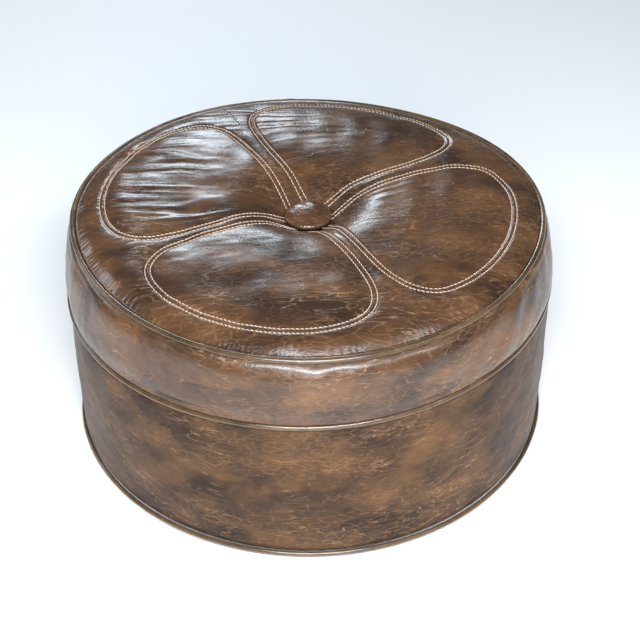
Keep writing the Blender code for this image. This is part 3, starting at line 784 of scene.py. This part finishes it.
def thread_material():
    """Waxed thread: pale strands that twist round it, with painted shade darkening the valleys between them.
    """
    material, tree, shader = new_material("waxed_thread")
    hide = add_node(tree, "UVMap", uv_map="hide")
    strands = add_node(tree, "TexWave", {"Vector": stretched(tree, hide, (1.0, 1.0), 0.7), "Scale": 420.0,
                                         "Distortion": 0.6}, output=1)
    place = add_node(tree, "TexCoord", output=3)
    tint = span(tree, noise(tree, place, 60.0, 2.0), 0.35, 0.65)
    pale = mix_colour(tree, tint, colour(0.70, 0.53, 0.40), colour(0.86, 0.73, 0.62))
    # the dark brown in the strands' valleys is painted shade, not the thread's own colour
    base = mix_colour(tree, span(tree, strands, 0.1, 0.6), colour(0.33, 0.19, 0.12), pale)
    tree.links.new(base, shader.inputs["Base Color"])
    shader.inputs["Roughness"].default_value = 0.48
    bump = add_node(tree, "Bump", {"Height": strands, "Strength": 0.5, "Distance": 0.0002})
    tree.links.new(bump, shader.inputs["Normal"])
    return material


def fibre_material(name, light, shade, scale, bump_size, rough=0.9):
    """Foam, wadding, cord and cloth: two tones in fine speckle, matt, with a soft relief."""
    material, tree, shader = new_material(name)
    place = add_node(tree, "TexCoord", output=3)
    speckle = noise(tree, place, scale, 5.0, 0.65)
    cells = add_node(tree, "TexVoronoi", {"Vector": place, "Scale": scale * 1.7})
    base = mix_colour(tree, span(tree, speckle, 0.35, 0.65), colour(*shade), colour(*light))
    tree.links.new(base, shader.inputs["Base Color"])
    shader.inputs["Roughness"].default_value = rough
    relief = maths(tree, "ADD", cells, speckle)
    bump = add_node(tree, "Bump", {"Height": relief, "Strength": 0.5, "Distance": bump_size})
    tree.links.new(bump, shader.inputs["Normal"])
    return material


def wood_material(name, light, dark, grain_scale, turn):
    """Wood: streaks of grain along one direction, with fine pores."""
    material, tree, shader = new_material(name)
    place = add_node(tree, "TexCoord", output=3)
    place = add_node(tree, "Mapping", {"Vector": place, "Rotation": turn, "Scale": (1.0, 0.09, 1.0)})
    streaks = noise(tree, place, grain_scale, 6.0, 0.6, 0.8)
    pores = noise(tree, place, grain_scale * 7, 3.0, 0.7)
    base = mix_colour(tree, span(tree, streaks, 0.35, 0.65), colour(*light), colour(*dark))
    base = mix_colour(tree, span(tree, pores, 0.55, 0.75, 0.0, 0.5), base, colour(*(0.5 * c for c in dark)))
    tree.links.new(base, shader.inputs["Base Color"])
    shader.inputs["Roughness"].default_value = 0.62
    bump = add_node(tree, "Bump", {"Height": pores, "Strength": 0.3, "Distance": 0.0004})
    tree.links.new(bump, shader.inputs["Normal"])
    return material


def metal_material(name, tone, rough):
    """Bright metal, faintly scratched and dulled in patches."""
    material, tree, shader = new_material(name)
    place = add_node(tree, "TexCoord", output=3)
    drawn = add_node(tree, "Mapping", {"Vector": place, "Scale": (1.0, 14.0, 1.0)})
    scratches = noise(tree, drawn, 260.0, 4.0)
    dull = noise(tree, place, 45.0, 3.0)
    dulled = span(tree, dull, 0.4, 0.7, 0.0, 0.35)
    base = mix_colour(tree, dulled, colour(*tone), colour(*(0.55 * c for c in tone)))
    tree.links.new(base, shader.inputs["Base Color"])
    shader.inputs["Metallic"].default_value = 1.0
    tree.links.new(span(tree, scratches, 0.3, 0.7, rough - 0.06, rough + 0.12), shader.inputs["Roughness"])
    return material


# Putting it together


def dress(piece, material, slot, *nodes, body="root"):
    """Gives a piece its material, hides the CAD nodes that it stands for, and sets the body it rides on; slot
    is not used.
    """
    piece.data.materials.clear()
    piece.data.materials.append(material)
    if nodes:
        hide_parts(*nodes)
    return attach(piece, body)


def redress(material, *prefixes):
    """Gives every carried-over CAD node whose name starts so a better material."""
    for name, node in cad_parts.items():
        if name.startswith(prefixes):
            node.data.materials.clear()
            node.data.materials.append(material)


def settle(material, slot, *prefixes):
    """Stands a copy in for every filling layer whose name starts so, moved with the seam above it."""
    for name, node in list(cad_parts.items()):
        if name.startswith(prefixes):
            mesh = node.data.copy()
            shape = bmesh.new()
            shape.from_mesh(mesh)
            bmesh.ops.remove_doubles(shape, verts=shape.verts, dist=1e-6)
            shape.to_mesh(mesh)
            shape.free()
            flat = np.empty(3 * len(mesh.vertices))
            mesh.vertices.foreach_get("co", flat)
            world = np.array(node.matrix_world)
            places = flat.reshape(-1, 3) @ world[:3, :3].T + world[:3, 3]
            mesh.vertices.foreach_set("co", follow_seam(places).ravel())
            mesh.update()
            piece = bpy.data.objects.new(name + "_settled", mesh)
            bpy.context.scene.collection.objects.link(piece)
            dress(piece, material, slot, name)


UMBER = (0.034, 0.0175, 0.0105)
CHESTNUT = (0.064, 0.030, 0.0165)
TAN = (0.160, 0.074, 0.031)
PALE_LINE = (0.50, 0.28, 0.135)

top_leather = antiqued_leather("seat_leather", UMBER, CHESTNUT, TAN, PALE_LINE, gloss=0.245)
side_leather = antiqued_leather("side_leather", (0.035, 0.018, 0.011), (0.082, 0.041, 0.022),
                                (0.190, 0.091, 0.038), (0.56, 0.33, 0.165), turn=0.25, shift=(0.4, 0.9),
                                gloss=0.29, coat=0.18)
drum_leather = antiqued_leather("drum_leather", (0.030, 0.017, 0.011), (0.072, 0.038, 0.021),
                                (0.168, 0.084, 0.036), (0.54, 0.31, 0.155), turn=-0.2, shift=(1.9, 0.3),
                                gloss=0.42, coat=0.0, shine=0.14)
piping_leather = antiqued_leather("piping_leather", (0.048, 0.027, 0.013), (0.098, 0.056, 0.026),
                                  (0.175, 0.102, 0.046), (0.42, 0.28, 0.17), lines=0.5, gloss=0.17, coat=0.5)
button_leather = antiqued_leather("button_leather", (0.040, 0.019, 0.011), (0.090, 0.042, 0.021),
                                  (0.20, 0.085, 0.033), (0.50, 0.27, 0.14), turn=1.1, gloss=0.16)
thread = thread_material()
cord = fibre_material("cotton_cord", (0.78, 0.74, 0.66), (0.52, 0.47, 0.39), 900.0, 0.0004)
wadding = fibre_material("polyester_wadding", (0.88, 0.87, 0.84), (0.66, 0.65, 0.62), 260.0, 0.0010)
foam = fibre_material("seat_foam", (0.86, 0.76, 0.48), (0.66, 0.53, 0.28), 420.0, 0.0008)
cloth = fibre_material("black_cloth", (0.030, 0.030, 0.032), (0.008, 0.008, 0.009), 1400.0, 0.0003, 0.95)
plywood = wood_material("birch_plywood", (0.66, 0.50, 0.32), (0.42, 0.28, 0.15), 26.0, (0.0, 0.0, 0.3))
softwood = wood_material("pine", (0.72, 0.54, 0.33), (0.50, 0.31, 0.15), 40.0, (math.pi / 2, 0.0, 0.0))
fibreboard = fibre_material("fibreboard", (0.40, 0.30, 0.20), (0.24, 0.17, 0.11), 150.0, 0.0006)
steel = metal_material("bright_steel", (0.62, 0.62, 0.60), 0.30)
nickel = metal_material("nickel_plate", (0.70, 0.66, 0.58), 0.20)

redress(foam, "side_padding")
settle(foam, "seat_foam", "quilt_padding", "seat_foam")
settle(wadding, "white_wadding", "seat_wadding")
redress(plywood, "seat_deck", "base_board")
redress(softwood, "post_", "twine_toggle")
redress(fibreboard, "drum_wall")
redress(steel, "deck_screw", "base_screw", "button_shell", "button_back", "button_eye")
redress(nickel, "glide_")
redress(cord, "tufting_twine")

top_cover = dress(make_top_panel(), top_leather, "brown_leather", "top_panel")
upper_side = dress(make_upper_band(), side_leather, "brown_leather", "upper_band")
dress(make_lower_band(), drum_leather, "brown_leather", "lower_band")
dress(make_button(), button_leather, "brown_leather", "button_cover")
for welt, where, seed in (("top_welt", top_seam, 601), ("middle_welt", middle_seam, 611),
                          ("bottom_welt", bottom_seam, 621)):
    piping, core = make_welt(welt, where, seed, 0.0025 if welt == "bottom_welt" else WELT_RADIUS)
    dress(piping, piping_leather, "brown_leather", welt)
    dress(core, cord, "cotton_cord", welt + "_cord")
for number in range(PETALS):
    dress(make_petal_stitching(number), thread, "sewing_thread", f"petal_stitching_{number + 1}")
dust_cloth, dust_radius = make_dust_cover()
dress(dust_cloth, cloth, "black_cloth", "dust_cover")


# The room


def make_floor():
    """A wide pale floor, faintly uneven in tone."""
    half = 6.0
    points = [(-half, -half, 0), (half, -half, 0), (half, half, 0), (-half, half, 0)]
    mesh = bpy.data.meshes.new("floor")
    mesh.from_pydata(points, [], [(0, 1, 2, 3)])
    floor = bpy.data.objects.new("floor", mesh)
    bpy.context.scene.collection.objects.link(floor)
    material, tree, shader = new_material("pale_floor")
    place = add_node(tree, "TexCoord", output=3)
    base = mix_colour(tree, noise(tree, place, 2.0, 2.0), colour(0.93, 0.93, 0.93), colour(0.95, 0.95, 0.95))
    tree.links.new(base, shader.inputs["Base Color"])
    shader.inputs["Roughness"].default_value = 0.6
    mesh.materials.append(material)


def make_light(name, bearing, rise, distance, size, power, tone):
    """A soft box that faces the seat, placed by its bearing from the viewer's right."""
    target = Vector((0, 0, TOP_HEIGHT))
    bearing = math.radians(bearing) + VIEW_TURN
    rise = math.radians(rise)
    way = Vector((math.cos(bearing) * math.cos(rise), math.sin(bearing) * math.cos(rise), math.sin(rise)))
    light = bpy.data.lights.new(name, "AREA")
    light.shape = "RECTANGLE"
    light.size, light.size_y = size
    light.energy = power
    light.color = tone
    lamp = bpy.data.objects.new(name, light)
    lamp.location = target + way * distance
    lamp.rotation_euler = way.to_track_quat("Z", "Y").to_euler()
    bpy.context.scene.collection.objects.link(lamp)


def make_world():
    """Faint even light from all round."""
    world = bpy.data.worlds.new("studio")
    world.use_nodes = True
    background = world.node_tree.nodes["Background"]
    background.inputs["Color"].default_value = colour(0.97, 0.98, 1.0)
    background.inputs["Strength"].default_value = 0.10
    bpy.context.scene.world = world


def make_camera():
    """Looks down at the seat from the front, a little rolled, swung and dipped to place it in the view."""
    rise, roll, swing, dip = (math.radians(a) for a in (41.343, 0.801, 0.4246, -2.8425))
    distance = 1.7355
    back = Vector((0, -math.cos(rise), math.sin(rise)))
    right = Vector((1, 0, 0))
    axes = Matrix((right, back.cross(right), back))
    swung = Matrix(((math.cos(swing), 0, math.sin(swing)), (0, 1, 0), (-math.sin(swing), 0, math.cos(swing))))
    axes = Matrix.Rotation(roll, 3, "Z") @ Matrix.Rotation(dip, 3, "X") @ swung @ axes
    turn = Matrix.Rotation(VIEW_TURN, 3, "Z")
    camera_data = bpy.data.cameras.new("camera")
    camera_data.lens = 78.75
    camera = bpy.data.objects.new("camera", camera_data)
    camera.matrix_world = Matrix.Translation(turn @ back * distance) @ (turn @ axes.transposed()).to_4x4()
    bpy.context.scene.collection.objects.link(camera)
    bpy.context.scene.camera = camera


make_floor()
make_world()
make_light("window", 98, 22.0, 2.9, (0.78, 0.38), 18, (0.76, 0.89, 1.0))
make_light("side_window", 158, 22, 3.0, (1.0, 0.6), 13, (0.86, 0.93, 1.0))
make_light("overhead", 272, 47, 2.0, (1.30, 0.40), 70, (0.82, 0.91, 1.0))
make_light("right_lamp", 328, 44, 2.4, (0.40, 0.25), 8, (0.95, 0.97, 1.0))
make_light("fill", 271, 22, 3.0, (1.2, 1.0), 54, (1.0, 0.90, 0.79))
make_camera()
bpy.context.scene.view_settings.view_transform = "Standard"
